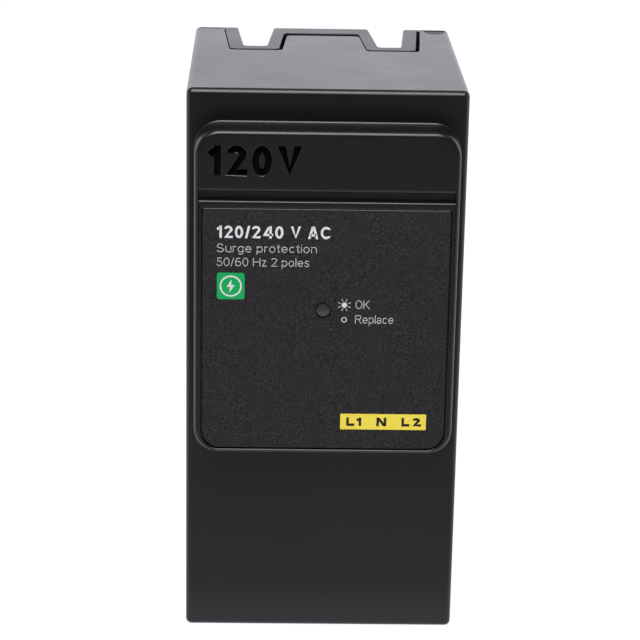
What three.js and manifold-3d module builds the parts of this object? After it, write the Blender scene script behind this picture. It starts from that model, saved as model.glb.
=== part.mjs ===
// Whole house surge protector that plugs into two breaker spaces of a load centre.
// Millimetres. X runs across the two spaces, Y into the panel, Z along the long side, bottom end at Z = 0.
// Depths are measured from the front face of the housing, and the whole part is moved at the end
// so that the origin is under its middle.
import * as THREE from "three";
import { RoundedBoxGeometry } from "three/addons/geometries/RoundedBoxGeometry.js";
import { mergeVertices } from "three/addons/utils/BufferGeometryUtils.js";
import Module from "manifold-3d";

const wasm = await Module();
wasm.setup();

// ---- driving dimensions ----
const poleWidth = 25.4; // one breaker space
const height = 105;
const shellDepth = 57;
const panelRise = 6.5; // how far the raised front panel stands out of the housing
const wall = 2.4;
const varistorSize = 34; // side of the square varistor block
const gap = 0.3; // space left between neighbouring pieces

// ---- dimensions that follow ----
const width = 2 * poleWidth;
const edgeRadius = 1.1;
const insideHalf = width / 2 - wall;

const panelMargin = 1.65;
const panelHalf = width / 2 - panelMargin;
const panelBottom = 0.361 * height;
const panelTop = height - 6.1;
const panelCorner = 4.6;
const panelEdge = 0.8;
const grooveBottom = panelTop - 12.8;
const grooveTop = grooveBottom + 1.5;
const grooveDeep = 1.2;

const labelHalf = panelHalf - 1.25;
const labelBottom = panelBottom + 0.9;
const labelTop = grooveBottom - 1.4;
const labelCorner = 3.5;
const labelSunk = 0.3;
const labelThick = 0.3;

const lampX = -0.4;
const lampZ = labelTop - 19;
const lampRadius = 1.45;

const slotX = 0.52 * poleWidth; // centre of a stab slot
const slotFloor = shellDepth - 17.5;
const slotMouthHalf = 3.6;
const slotFloorHalf = 2.1;
const collarFront = slotFloor - 3.2;
const collarFrontHalf = 5.05;
const collarBackHalf = 6.55;
const collarCorner = 1.2;
const collarBottom = height - 25.5;
const stripFront = shellDepth - 5.4;
const pocketHalf = 3.6;
const pocketBottom = collarBottom + 2.5;
const pocketTop = height - 6.2;

const channelBottom = 12;
const channelTop = 20.5;
const channelMiddle = (channelBottom + channelTop) / 2;
const channelFloor = shellDepth - 11;
const clipHalfLength = 3.5;

const pivotDepth = shellDepth - 17;
const pivotZ = collarBottom - 5.5;
const pinRadius = 1;
const armX = slotX + 4.7; // middle of the disconnect arm's thickness
const armThick = 1.6;
const armReach = 11;
const armDrop = 4;
const tailReach = 4;
const earX = armX + 3.2;

const varistorX = slotX - 1.2;
const varistorThick = 6;
const varistorTop = pivotZ - 4;
const varistorBack = shellDepth - 11;
const varistorMiddleZ = varistorTop - varistorSize / 2;
const varistorMiddleDepth = varistorBack - varistorSize / 2;

const boardFront = wall + 6;
const boardThick = 1.6;
const boardBack = boardFront + boardThick;
const boardHalf = insideHalf - 4;
const boardBottom = lampZ - 25.5;
const boardTop = lampZ + 20.5;

const spineFront = shellDepth - 16;
const sheet = 1.2; // thickness of the copper straps

const screwHeadRadius = 2.8;
const screwShankRadius = 1.3;
const bossRadius = 3;
const screwPlaces = [
  { name: "case_screw_lower_left", x: -(insideHalf - 2.8), z: wall + 2.8 },
  { name: "case_screw_lower_right", x: insideHalf - 2.8, z: wall + 2.8 },
  { name: "case_screw_upper", x: 0, z: height - 11 },
];
const sides = [
  { name: "left", sign: -1 },
  { name: "right", sign: 1 },
];

// ---- materials ----
function material(color, roughness, metalness = 0) {
  return new THREE.MeshStandardMaterial({ color, roughness, metalness });
}
const housingPlastic = material(0x242427, 0.55);
const basePlastic = material(0x1c1c1f, 0.6);
const labelFilm = material(0x2e2d30, 0.5);
const clearPlastic = material(0xb8bcc0, 0.15);
const ledPlastic = material(0x2aa45a, 0.25);
const boardLaminate = material(0x1f5a3a, 0.5);
const tinnedCopper = material(0xc4c2ba, 0.3, 1);
const copper = material(0xb87348, 0.35, 1);
const springSteel = material(0x9a9da1, 0.3, 1);
const zincSteel = material(0xaeb2b6, 0.35, 1);
const epoxy = material(0x2a4d8c, 0.45);
const solder = material(0xa9abae, 0.4, 1);
const armPlastic = material(0xd9d4c4, 0.5);
const switchPlastic = material(0x2b2b2d, 0.5);
const plungerPlastic = material(0xa83226, 0.45);
const resistorLacquer = material(0x7fa7b8, 0.4);
const capacitorPlastic = material(0xc9a227, 0.45);
const rectifierEpoxy = material(0x202022, 0.55);
const barrierPaper = material(0xd8cfb4, 0.8);

// ---- solids ----
function solid(geometry) {
  const bare = geometry.index ? geometry.toNonIndexed() : geometry;
  bare.deleteAttribute("normal");
  bare.deleteAttribute("uv");
  const merged = mergeVertices(bare, 1e-4);
  return new wasm.Manifold(
    new wasm.Mesh({
      numProp: 3,
      vertProperties: new Float32Array(merged.attributes.position.array),
      triVerts: new Uint32Array(merged.index.array),
    }),
  );
}

function join(...pieces) {
  return pieces.reduce((whole, piece) => whole.add(piece));
}

function cut(whole, ...tools) {
  return tools.reduce((rest, tool) => rest.subtract(tool), whole);
}

const group = new THREE.Group();
const assembly = new THREE.Group();
assembly.position.y = (panelRise - shellDepth) / 2;
group.add(assembly);

function place(name, piece, look) {
  const made = piece.getMesh();
  const geometry = new THREE.BufferGeometry();
  geometry.setAttribute("position", new THREE.BufferAttribute(made.vertProperties, 3));
  geometry.setIndex(new THREE.BufferAttribute(made.triVerts, 1));
  geometry.computeVertexNormals();
  const mesh = new THREE.Mesh(geometry, look);
  mesh.name = name;
  assembly.add(mesh);
}

// A box between two limits along each axis, given in either order.
function block(xs, ys, zs) {
  const size = [xs, ys, zs].map(([a, b]) => Math.abs(b - a));
  const middle = [xs, ys, zs].map(([a, b]) => (a + b) / 2);
  return solid(new THREE.BoxGeometry(...size).translate(...middle));
}

function extrude(shape, length, bevel = 0) {
  return new THREE.ExtrudeGeometry(shape, {
    depth: length - 2 * bevel,
    bevelEnabled: bevel > 0,
    bevelThickness: bevel,
    bevelSize: bevel,
    bevelOffset: -bevel,
    bevelSegments: 2,
    curveSegments: 5,
  }).translate(0, 0, bevel);
}

// A shape drawn in X and Z, pushed through from one depth to another.
function alongDepth(shape, [from, to], bevel = 0) {
  return solid(extrude(shape, to - from, bevel).rotateX(Math.PI / 2).translate(0, to, 0));
}

// A shape drawn in depth and Z, pushed through from one X to another.
const depthAndZ = new THREE.Matrix4().makeBasis(
  new THREE.Vector3(0, 1, 0),
  new THREE.Vector3(0, 0, 1),
  new THREE.Vector3(1, 0, 0),
);
function alongX(shape, xs, bevel = 0) {
  const low = Math.min(...xs);
  const made = extrude(shape, Math.max(...xs) - low, bevel).applyMatrix4(depthAndZ);
  return solid(made.translate(low, 0, 0));
}

// A shape drawn in X and depth, pushed through from one Z to another.
function alongZ(shape, [from, to], bevel = 0) {
  return solid(extrude(shape, to - from, bevel).translate(0, 0, from));
}

function outline(points) {
  return new THREE.Shape(points.map(([a, b]) => new THREE.Vector2(a, b)));
}

// An outline through corners given as [a, b, radius].
function roundedOutline(corners) {
  const shape = new THREE.Shape();
  corners.forEach(([a, b, radius], i) => {
    const tangentPoint = (next) => {
      const step = new THREE.Vector2(next[0] - a, next[1] - b).setLength(radius);
      return [a + step.x, b + step.y];
    };
    const start = tangentPoint(corners.at(i - 1));
    if (i === 0) shape.moveTo(...start);
    else shape.lineTo(...start);
    if (radius > 0) shape.quadraticCurveTo(a, b, ...tangentPoint(corners[(i + 1) % corners.length]));
  });
  return shape;
}

// A rectangle with its own radius for the lower and the upper corners.
function roundedRect([left, right], [low, high], lowerRadius, upperRadius = lowerRadius) {
  const shape = new THREE.Shape();
  const quarter = Math.PI / 2;
  const corner = (x, y, r, start) => {
    if (r > 0) shape.absarc(x, y, r, start, start + quarter, false);
    else shape.lineTo(x, y);
  };
  shape.moveTo(left + lowerRadius, low);
  shape.lineTo(right - lowerRadius, low);
  corner(right - lowerRadius, low + lowerRadius, lowerRadius, -quarter);
  corner(right - upperRadius, high - upperRadius, upperRadius, 0);
  corner(left + upperRadius, high - upperRadius, upperRadius, quarter);
  corner(left + lowerRadius, low + lowerRadius, lowerRadius, 2 * quarter);
  return shape;
}

// A bar with round ends between two points.
function roundBar([a, b], [c, d], radius) {
  const turn = Math.atan2(d - b, c - a);
  const shape = new THREE.Shape();
  shape.absarc(c, d, radius, turn - Math.PI / 2, turn + Math.PI / 2, false);
  shape.absarc(a, b, radius, turn + Math.PI / 2, turn + 1.5 * Math.PI, false);
  return shape;
}

function round(a, b, radius) {
  const shape = new THREE.Shape();
  shape.absarc(a, b, radius, 0, 2 * Math.PI, false);
  return shape;
}

// A turned piece on an axis along the depth. The profile lists [radius, depth] from front to back.
function turned(profile, x, z, around = 20) {
  const points = profile.map(([radius, depth]) => new THREE.Vector2(radius, depth));
  return solid(new THREE.LatheGeometry(points, around).translate(x, 0, z));
}

// A round wire along a path, with flat ends.
function wire(path, radius, steps, around = 6) {
  return solid(
    new THREE.ExtrudeGeometry(roundWire(radius, around), { steps, extrudePath: path, bevelEnabled: false }),
  );
}

function roundWire(radius, around) {
  const turn = (2 * Math.PI) / around;
  const corner = (_, i) => [radius * Math.cos(i * turn), radius * Math.sin(i * turn)];
  return outline(Array.from({ length: around }, corner));
}

// ---- housing ----
// Half the width of a collar at a depth, drawn in by an inset.
function collarHalf(depth, inset) {
  const slope = (collarBackHalf - collarFrontHalf) / (shellDepth - collarFront);
  return collarFrontHalf + slope * (depth - collarFront) - inset;
}

// One collar round a stab slot, as seen from the end.
function collarOutline(sign, inset) {
  const x = sign * slotX;
  const front = collarFront + inset;
  return roundedOutline([
    [x - collarHalf(front, inset), front, collarCorner],
    [x + collarHalf(front, inset), front, collarCorner],
    [x + collarHalf(shellDepth, inset), shellDepth, 0],
    [x - collarHalf(shellDepth, inset), shellDepth, 0],
  ]);
}

// The part of the end wall that belongs to the rear base: both collars and the strip between them.
function endOutline(inset, back) {
  const front = collarFront + inset;
  const step = stripFront + inset;
  const rightHand = [
    [slotX - collarHalf(step, inset), step, collarCorner],
    [slotX - collarHalf(front, inset), front, collarCorner],
    [slotX + collarHalf(front, inset), front, collarCorner],
    [slotX + collarHalf(back, inset), back, 0],
  ];
  const leftHand = rightHand.map(([x, y, radius]) => [-x, y, radius]).reverse();
  return roundedOutline([...rightHand, ...leftHand]);
}

function frontHousing() {
  const box = new RoundedBoxGeometry(width, 2 * shellDepth, height, 2, edgeRadius);
  const outside = solid(box.translate(0, shellDepth, height / 2));
  const backHalf = block([-width, width], [shellDepth, 3 * shellDepth], [-height, 2 * height]);
  const panelShape = roundedRect([-panelHalf, panelHalf], [panelBottom, panelTop], panelCorner);
  const panel = alongDepth(panelShape, [-panelRise, wall], panelEdge);
  const inside = block([-insideHalf, insideHalf], [wall, shellDepth + 1], [wall, height - wall]);
  const panelInside = block(
    [-panelHalf + wall, panelHalf - wall],
    [-panelRise + wall, wall + 1],
    [panelBottom + wall, panelTop - wall],
  );
  const groove = block(
    [-labelHalf - 0.4, labelHalf + 0.4],
    [-panelRise - 1, -panelRise + grooveDeep],
    [grooveBottom, grooveTop],
  );
  const labelShape = roundedRect([-labelHalf, labelHalf], [labelBottom, labelTop], labelCorner, 0);
  const labelSeat = alongDepth(labelShape, [-panelRise - 1, -panelRise + labelSunk + labelThick + gap]);
  const lampHole = alongDepth(round(lampX, lampZ, lampRadius + gap), [-panelRise - 1, wall]);
  const endCut = alongZ(endOutline(0, shellDepth + 1), [height - wall - 1, height + 1]);
  const railCut = block(
    [-width, width],
    [channelFloor - gap, shellDepth + 1],
    [channelBottom - gap, channelTop + gap],
  );
  const gateMark = alongZ(round(width / 2 - 2.7, shellDepth - 1.2, 2.15), [height - 0.5, height + 1]);
  const hollow = cut(join(cut(outside, backHalf), panel), inside, panelInside);
  const posted = join(hollow, ...caseBosses(), ...boardPosts());
  const drilled = cut(posted, ...caseBossHoles());
  return cut(drilled, groove, labelSeat, lampHole, railCut, gateMark, endCut);
}

function caseBosses() {
  const back = shellDepth - 5.1 - gap;
  const posts = screwPlaces.map(({ x, z }) => alongDepth(round(x, z, bossRadius), [wall - 0.2, back]));
  const rib = block([-0.8, 0.8], [wall - 0.2, back], [height - 11, height - wall + 0.2]);
  return [...posts, rib];
}

function caseBossHoles() {
  const back = shellDepth - 5.1 - gap;
  return screwPlaces.map(({ x, z }) => alongDepth(round(x, z, screwShankRadius + 0.15), [back - 13, back + 1]));
}

function boardPosts() {
  const xs = [-boardHalf + 3, boardHalf - 3];
  const zs = [boardBottom + 3, boardTop - 3];
  const front = -panelRise + wall - 0.2;
  return xs.flatMap((x) => zs.map((z) => alongDepth(round(x, z, 2), [front, boardFront - gap])));
}

// ---- rear base ----
function rearBase() {
  const plateHalf = insideHalf - gap;
  const plateFront = shellDepth - 5.1;
  const behind = shellDepth + 1;
  const plate = block([-plateHalf, plateHalf], [plateFront, shellDepth], [wall + gap, height - wall - gap]);
  const collars = sides.map(({ sign }) => alongZ(collarOutline(sign, gap), [collarBottom, height - 1]));
  const end = alongZ(endOutline(gap, shellDepth), [height - wall - 2, height]);
  const trough = block(
    [-plateHalf, plateHalf],
    [channelFloor - 1.5, shellDepth],
    [channelBottom - 1.5, channelTop + 1.5],
  );
  const spineRib = block([-1.5, 1.5], [spineFront + sheet + gap, plateFront + 1], [26, 48]);
  const ears = sides.map(({ sign }) =>
    block([sign * earX, sign * (earX + 1.5)], [pivotDepth - 3, plateFront + 1], [pivotZ - 3.5, pivotZ + 3]),
  );
  const varistorRibs = sides.flatMap(({ sign }) =>
    [-10, 10].map((offset) =>
      block(
        [sign * (varistorX - 2.5), sign * (varistorX + 2.5)],
        [varistorBack + gap, plateFront + 1],
        [varistorMiddleZ + offset - 1, varistorMiddleZ + offset + 1],
      ),
    ),
  );
  const whole = join(plate, ...collars, end, trough, spineRib, ...ears, ...varistorRibs);
  const slots = sides.flatMap(({ sign }) => stabSlot(sign * slotX));
  const channel = block([-width, width], [channelFloor, behind], [channelBottom, channelTop]);
  const clipWindow = block(
    [-clipHalfLength - 0.5, clipHalfLength + 0.5],
    [channelFloor - 2, channelFloor + 0.5],
    [channelMiddle - 3.4, channelMiddle + 3.4],
  );
  const pinHole = alongX(round(pivotDepth, pivotZ, pinRadius + 0.1), [-width / 2, width / 2]);
  const screwHoles = screwPlaces.flatMap(({ x, z }) => [
    alongDepth(round(x, z, screwShankRadius + 0.4), [plateFront - 1, behind]),
    alongDepth(round(x, z, screwHeadRadius + 0.4), [shellDepth - 2.8, behind]),
  ]);
  return cut(whole, ...slots, channel, clipWindow, pinHole, ...screwHoles);
}

// A slot for one stab of the bus: a funnel through the end, a wider pocket for the jaw, a slit for its tail.
function stabSlot(x) {
  const funnel = outline([
    [x - slotFloorHalf, slotFloor],
    [x + slotFloorHalf, slotFloor],
    [x + slotMouthHalf, shellDepth],
    [x + slotMouthHalf, shellDepth + 1],
    [x - slotMouthHalf, shellDepth + 1],
    [x - slotMouthHalf, shellDepth],
  ]);
  return [
    alongZ(funnel, [pocketBottom, height + 1]),
    block([x - pocketHalf, x + pocketHalf], [slotFloor, shellDepth - 3.6], [pocketBottom, pocketTop]),
    block([x - 2.4, x + 2.4], [slotFloor, slotFloor + 2.6], [collarBottom - 1, pocketBottom + 1]),
  ];
}

// ---- face ----
function faceLabel() {
  const inset = 0.2;
  const shape = roundedRect(
    [-labelHalf + inset, labelHalf - inset],
    [labelBottom + inset, labelTop - inset],
    labelCorner - inset,
    0,
  );
  const front = -panelRise + labelSunk;
  const film = alongDepth(shape, [front, front + labelThick]);
  return cut(film, alongDepth(round(lampX, lampZ, lampRadius + 0.15), [front - 1, front + 1]));
}

function lightPipe() {
  const front = -panelRise + labelSunk - 0.1;
  const collar = -panelRise + wall + gap;
  const back = boardFront - 4.3;
  const profile = [
    [0, front],
    [lampRadius * 0.7, front + 0.15],
    [lampRadius, front + 0.5],
    [lampRadius, collar],
    [2.6, collar],
    [2.6, collar + 1],
    [lampRadius, collar + 1],
    [lampRadius, back],
    [0, back],
  ];
  return turned(profile, lampX, lampZ);
}

function statusLed() {
  const seat = boardFront - gap;
  const profile = [
    [0, seat - 3.6],
    [0.8, seat - 3.4],
    [1.3, seat - 2.9],
    [1.5, seat - 2.2],
    [1.5, seat - 0.8],
    [1.9, seat - 0.8],
    [1.9, seat],
    [0, seat],
  ];
  return turned(profile, lampX, lampZ, 16);
}

// ---- line side ----
// Two springy fingers on a web, drawn with the web at zero depth and the mouth at the back.
function fingers(halfGap, thick, reach) {
  const outer = halfGap + thick;
  const rightHand = [
    [outer, 0],
    [outer, 0.5 * reach],
    [outer - 0.3, 0.76 * reach],
    [outer + 0.9, reach],
    [outer + 0.2, reach + 0.3],
    [halfGap - 0.3, 0.78 * reach],
    [halfGap, 0.5 * reach],
    [halfGap, 1],
  ];
  const leftHand = rightHand.map(([a, b]) => [-a, b]).reverse();
  return [...rightHand, ...leftHand];
}

function fingerSpring(half, reach) {
  const rightHand = [
    [half, 0],
    [half, 0.6 * reach],
    [half - 0.3, reach],
    [half - 0.8, reach],
    [half - 0.5, 0.6 * reach],
    [half - 0.5, 0.5],
  ];
  const leftHand = rightHand.map(([a, b]) => [-a, b]).reverse();
  return [...rightHand, ...leftHand];
}

const jawWeb = slotFloor + 1.1;
function lineJaw(sign) {
  const x = sign * slotX;
  const grip = outline(fingers(1.3, 0.9, 12).map(([a, b]) => [x + a, jawWeb + b]));
  const tail = block([x - 2, x + 2], [jawWeb, jawWeb + 1], [collarBottom - 2.5, pocketBottom + 4]);
  return join(alongZ(grip, [pocketBottom + 2, height - 8]), tail);
}

function jawSpring(sign) {
  const points = fingerSpring(3, 9.6).map(([a, b]) => [sign * slotX + a, jawWeb - 0.8 + b]);
  return alongZ(outline(points), [pocketBottom + 4, height - 10]);
}

function lineStrap(sign) {
  const x = sign * slotX;
  const front = jawWeb + 1 + gap;
  return block([x - 2, x + 2], [front, front + 1], [varistorTop + 0.5, collarBottom - 0.8]);
}

function varistor(sign) {
  const half = varistorSize / 2;
  const shape = roundedRect(
    [varistorMiddleDepth - half, varistorMiddleDepth + half],
    [varistorMiddleZ - half, varistorMiddleZ + half],
    4,
  );
  const xs = [varistorX - varistorThick / 2, varistorX + varistorThick / 2].map((x) => sign * x);
  return alongX(shape, xs, 1);
}

const contactDepth = pivotDepth - armReach;
const contactZ = pivotZ - armDrop;
const electrodeX = varistorX + varistorThick / 2 + gap;
function lineElectrode(sign) {
  const xs = [sign * electrodeX, sign * (electrodeX + 0.8)];
  const plate = roundedRect([contactDepth - 9, contactDepth + 9], [varistorMiddleZ - 9, varistorTop - 6], 1);
  const tab = roundedRect([contactDepth - 3, contactDepth + 3], [varistorTop - 7, contactZ + 2.2], 0.6);
  return join(alongX(plate, xs), alongX(tab, xs));
}

const solderX = electrodeX + 1;
function solderPad(sign) {
  return alongX(round(contactDepth, contactZ, 1.7), [sign * solderX, sign * (armX - armThick / 2 - 0.2)]);
}

// ---- thermal disconnect ----
function disconnectArm(sign) {
  const xs = [sign * (armX - armThick / 2), sign * (armX + armThick / 2)];
  const pivot = [pivotDepth, pivotZ];
  const beam = alongX(roundBar([contactDepth, contactZ], pivot, 2.1), xs);
  const hub = alongX(round(...pivot, 3), xs);
  const tail = alongX(roundBar([pivotDepth, pivotZ - tailReach], pivot, 1), xs);
  const bore = alongX(round(...pivot, pinRadius + 0.08), [-width / 2, width / 2]);
  return cut(join(beam, hub, tail), bore);
}

function pivotPin(sign) {
  const inner = armX - armThick / 2 - gap;
  const shaft = alongX(round(pivotDepth, pivotZ, pinRadius), [sign * inner, sign * (earX + 1.5)]);
  const head = alongX(round(pivotDepth, pivotZ, 1.7), [sign * (inner - 0.6), sign * inner]);
  return join(shaft, head);
}

class TorsionPath extends THREE.Curve {
  constructor(sign) {
    super();
    this.sign = sign;
  }
  // Runs from the leg on the arm, through the coil, to the leg on the base.
  getPoint(t, target = new THREE.Vector3()) {
    const turns = 2.75;
    const radius = 1.9;
    const legShare = 0.15;
    const along = THREE.MathUtils.clamp((t - legShare) / (1 - 2 * legShare), 0, 1);
    const angle = Math.PI / 2 + along * turns * 2 * Math.PI;
    const x = armX + armThick / 2 + 0.55 + along * 1.3;
    const tangent = new THREE.Vector2(-Math.sin(angle), Math.cos(angle));
    const overshoot = t < legShare ? (t - legShare) / legShare : Math.max(0, (t - 1 + legShare) / legShare);
    const depth = pivotDepth + radius * Math.cos(angle) + tangent.x * overshoot * -7;
    const z = pivotZ + radius * Math.sin(angle) + tangent.y * overshoot * 7;
    return target.set(this.sign * x, depth, z);
  }
}

function torsionSpring(sign) {
  return wire(new TorsionPath(sign), 0.25, 44);
}

function shuntBraid(sign) {
  const start = new THREE.Vector3(sign * (slotX + 0.8), jawWeb - 0.4, varistorTop + 2);
  const end = new THREE.Vector3(sign * (armX - armThick / 2 - 1), pivotDepth - 5, pivotZ - 1.6);
  const lift = new THREE.Vector3(0, -3, 4);
  const path = new THREE.CubicBezierCurve3(start, start.clone().add(lift), end.clone().add(lift), end);
  return wire(path, 0.7, 14, 8);
}

// ---- switches ----
const plungerFront = pivotDepth + 1.2;
const switchFront = plungerFront + 1.9;
function switchBody(sign) {
  const xs = [sign * (armX - 2.4), sign * (armX + 2.4)];
  const shape = roundedRect([switchFront, shellDepth - 5.1 - gap], [pivotZ - 14, pivotZ - 2.1], 0.5);
  const bore = alongDepth(round(sign * armX, pivotZ - tailReach, 1.05), [switchFront - 1, switchFront + 3]);
  return cut(alongX(shape, xs), bore);
}

function switchPlunger(sign) {
  const profile = [
    [0, plungerFront],
    [0.6, plungerFront + 0.1],
    [0.85, plungerFront + 0.5],
    [0.85, switchFront + 2.4],
    [0, switchFront + 2.4],
  ];
  return turned(profile, sign * armX, pivotZ - tailReach, 12);
}

// ---- neutral side ----
function neutralBusbar() {
  const ys = [spineFront, spineFront + sheet];
  const spine = block([-3, 3], ys, [channelBottom + 1, varistorMiddleZ + 2]);
  const plateX = varistorX - varistorThick / 2 - gap;
  const cross = block([-plateX, plateX], ys, [varistorMiddleZ - 2, varistorMiddleZ + 2]);
  const plates = sides.map(({ sign }) =>
    alongX(
      roundedRect([varistorMiddleDepth - 5, spineFront + sheet], [varistorMiddleZ - 8, varistorMiddleZ + 8], 1),
      [sign * plateX, sign * (plateX - sheet)],
    ),
  );
  return join(spine, cross, ...plates);
}

const clipWeb = spineFront + sheet + gap;
function neutralClip() {
  const points = fingers(1.3, 0.8, 11).map(([a, b]) => [clipWeb + b, channelMiddle - a]);
  return alongX(outline(points), [-clipHalfLength, clipHalfLength]);
}

// A flat band round the two fingers, just behind the floor of the rail channel.
function neutralClipSpring() {
  const ys = [channelFloor + 1, channelFloor + 3];
  const ring = (grow) => [
    [-clipHalfLength - 0.3 - grow, clipHalfLength + 0.3 + grow],
    [channelMiddle - 2.4 - grow, channelMiddle + 2.4 + grow],
  ];
  const [outerXs, outerZs] = ring(0.6);
  const [innerXs, innerZs] = ring(0);
  return cut(block(outerXs, ys, outerZs), block(innerXs, [ys[0] - 1, ys[1] + 1], innerZs));
}

function insulatingBarrier() {
  return block([-0.6, 0.6], [boardBack + 4, spineFront - gap], [varistorMiddleZ - 21, pivotZ + 4]);
}

// ---- circuit board ----
function circuitBoard() {
  const shape = roundedRect([-boardHalf, boardHalf], [boardBottom, boardTop], 1);
  return alongDepth(shape, [boardFront, boardBack]);
}

function dropResistor(sign) {
  const seat = boardBack + gap + 1.3;
  const profile = [
    [0, -7],
    [0.35, -7],
    [0.35, -4.2],
    [1.3, -4],
    [1.3, -2.8],
    [1, -2.4],
    [1, 2.4],
    [1.3, 2.8],
    [1.3, 4],
    [0.35, 4.2],
    [0.35, 7],
    [0, 7],
  ];
  const points = profile.map(([radius, along]) => new THREE.Vector2(radius, along));
  const upright = new THREE.LatheGeometry(points, 12).rotateX(Math.PI / 2);
  return solid(upright.translate(sign * 5, seat, lampZ + 11));
}

function filmCapacitor() {
  const shape = roundedRect([-8, -2.5], [lampZ - 20, lampZ - 8], 0.6);
  return alongDepth(shape, [boardBack + gap, boardBack + 7], 0.3);
}

function bridgeRectifier() {
  const shape = roundedRect([2.5, 8], [lampZ - 19, lampZ - 11], 0.4);
  return alongDepth(shape, [boardBack + gap, boardBack + 2.8], 0.2);
}

// ---- fasteners ----
function caseScrew({ x, z }) {
  const headBack = shellDepth - 0.5;
  const headFront = headBack - 2;
  const tip = headFront - 12;
  const profile = [
    [0, tip],
    [0.5, tip + 0.4],
    [screwShankRadius, tip + 2.2],
    [screwShankRadius, headFront],
    [screwHeadRadius, headFront],
    [screwHeadRadius, headBack - 0.8],
    [screwHeadRadius - 0.9, headBack],
    [0, headBack],
  ];
  const driveDepth = [headBack - 1, headBack + 1];
  const drives = [
    block([x - 1.6, x + 1.6], driveDepth, [z - 0.35, z + 0.35]),
    block([x - 0.35, x + 0.35], driveDepth, [z - 1.6, z + 1.6]),
  ];
  return cut(turned(profile, x, z, 18), ...drives);
}

// ---- the assembly ----
place("front_housing", frontHousing(), housingPlastic);
place("rear_base", rearBase(), basePlastic);
place("face_label", faceLabel(), labelFilm);
place("light_pipe", lightPipe(), clearPlastic);
place("status_led", statusLed(), ledPlastic);
place("circuit_board", circuitBoard(), boardLaminate);
place("film_capacitor", filmCapacitor(), capacitorPlastic);
place("bridge_rectifier", bridgeRectifier(), rectifierEpoxy);
place("insulating_barrier", insulatingBarrier(), barrierPaper);
place("neutral_busbar", neutralBusbar(), copper);
place("neutral_clip", neutralClip(), tinnedCopper);
place("neutral_clip_spring", neutralClipSpring(), springSteel);
for (const { name, sign } of sides) {
  place("line_jaw_" + name, lineJaw(sign), tinnedCopper);
  place("jaw_spring_" + name, jawSpring(sign), springSteel);
  place("line_strap_" + name, lineStrap(sign), copper);
  place("varistor_" + name, varistor(sign), epoxy);
  place("line_electrode_" + name, lineElectrode(sign), tinnedCopper);
  place("solder_pad_" + name, solderPad(sign), solder);
  place("disconnect_arm_" + name, disconnectArm(sign), armPlastic);
  place("pivot_pin_" + name, pivotPin(sign), zincSteel);
  place("torsion_spring_" + name, torsionSpring(sign), springSteel);
  place("shunt_braid_" + name, shuntBraid(sign), copper);
  place("switch_body_" + name, switchBody(sign), switchPlastic);
  place("switch_plunger_" + name, switchPlunger(sign), plungerPlastic);
  place("drop_resistor_" + name, dropResistor(sign), resistorLacquer);
}
for (const screw of screwPlaces) place(screw.name, caseScrew(screw), zincSteel);

export default group;
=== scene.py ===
"""Looks of a two-space plug-on surge protector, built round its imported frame.

Shapes are drawn in millimetres in the row frame (X right, Y into the load centre, Z up) and
scaled to metres when their mesh is made.
"""
import math

import bmesh
import bpy
from mathutils import Euler, Matrix, Vector

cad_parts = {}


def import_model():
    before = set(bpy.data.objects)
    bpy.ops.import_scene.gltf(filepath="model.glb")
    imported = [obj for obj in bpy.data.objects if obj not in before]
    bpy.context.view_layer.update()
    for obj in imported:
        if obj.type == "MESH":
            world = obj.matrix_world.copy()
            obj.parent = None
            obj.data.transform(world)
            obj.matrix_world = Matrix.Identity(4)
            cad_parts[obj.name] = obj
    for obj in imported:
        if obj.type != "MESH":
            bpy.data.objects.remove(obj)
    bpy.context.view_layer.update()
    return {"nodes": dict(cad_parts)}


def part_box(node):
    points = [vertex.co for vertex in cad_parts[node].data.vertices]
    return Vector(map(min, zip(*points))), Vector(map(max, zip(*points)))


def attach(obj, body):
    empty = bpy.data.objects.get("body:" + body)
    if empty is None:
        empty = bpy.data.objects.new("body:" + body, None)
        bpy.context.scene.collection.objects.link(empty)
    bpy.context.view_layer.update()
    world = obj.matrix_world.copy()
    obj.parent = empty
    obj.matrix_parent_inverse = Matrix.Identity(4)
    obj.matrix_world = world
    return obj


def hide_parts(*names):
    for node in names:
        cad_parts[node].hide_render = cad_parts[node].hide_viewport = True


MM = 0.001
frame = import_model()


# ---------------------------------------------------------------- dimensions, in millimetres
def span(node):
    """A CAD node's low and high corner in millimetres."""
    low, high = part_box(node)
    return low / MM, high / MM


HOUSING_LOW, HOUSING_HIGH = span("front_housing")
LABEL_LOW, LABEL_HIGH = span("face_label")
LENS_LOW, LENS_HIGH = span("light_pipe")

HALF_WIDTH = HOUSING_HIGH.x
HEIGHT = HOUSING_HIGH.z
PANEL_FRONT = HOUSING_LOW.y
BACK = HOUSING_HIGH.y
PANEL_RISE = 6.5
SHELL_FRONT = PANEL_FRONT + PANEL_RISE
WALL = 2.4
GAP = 0.3
EDGE = 1.1  # rounding of the housing's outer edges
WITNESS = 1.15  # from the back edge to the front of the witness line
WITNESS_WIDTH = 0.7
WITNESS_DEEP = 0.6

PANEL_HALF = HALF_WIDTH - 1.65
PANEL_BOTTOM = 0.361 * HEIGHT
PANEL_TOP = HEIGHT - 6.1
PANEL_CORNER = 4.6
PANEL_EDGE = 0.9
PANEL_FILLET = 0.5
GROOVE_BOTTOM = PANEL_TOP - 12.8
GROOVE_TOP = GROOVE_BOTTOM + 1.5
GROOVE_DEEP = 1.2

RATING_WORDS = "120V"
RATING_LEFT = -21.3
RATING_RIGHT = -4.5
RATING_FOOT = GROOVE_TOP + 3.1
RATING_CAP = 5.5
RATING_WEIGHT = 0.225  # stroke width in cap heights
RATING_DEEP = 1.1

SEAT_HALF = PANEL_HALF - 1.25
SEAT_BOTTOM = PANEL_BOTTOM + 0.9
SEAT_TOP = GROOVE_BOTTOM - 1.4
SEAT_CORNER = 3.5
SEAT_DEEP = 0.9
LABEL_FACE = LABEL_LOW.y - 0.17  # a little less sunk than the plain CAD film

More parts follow.
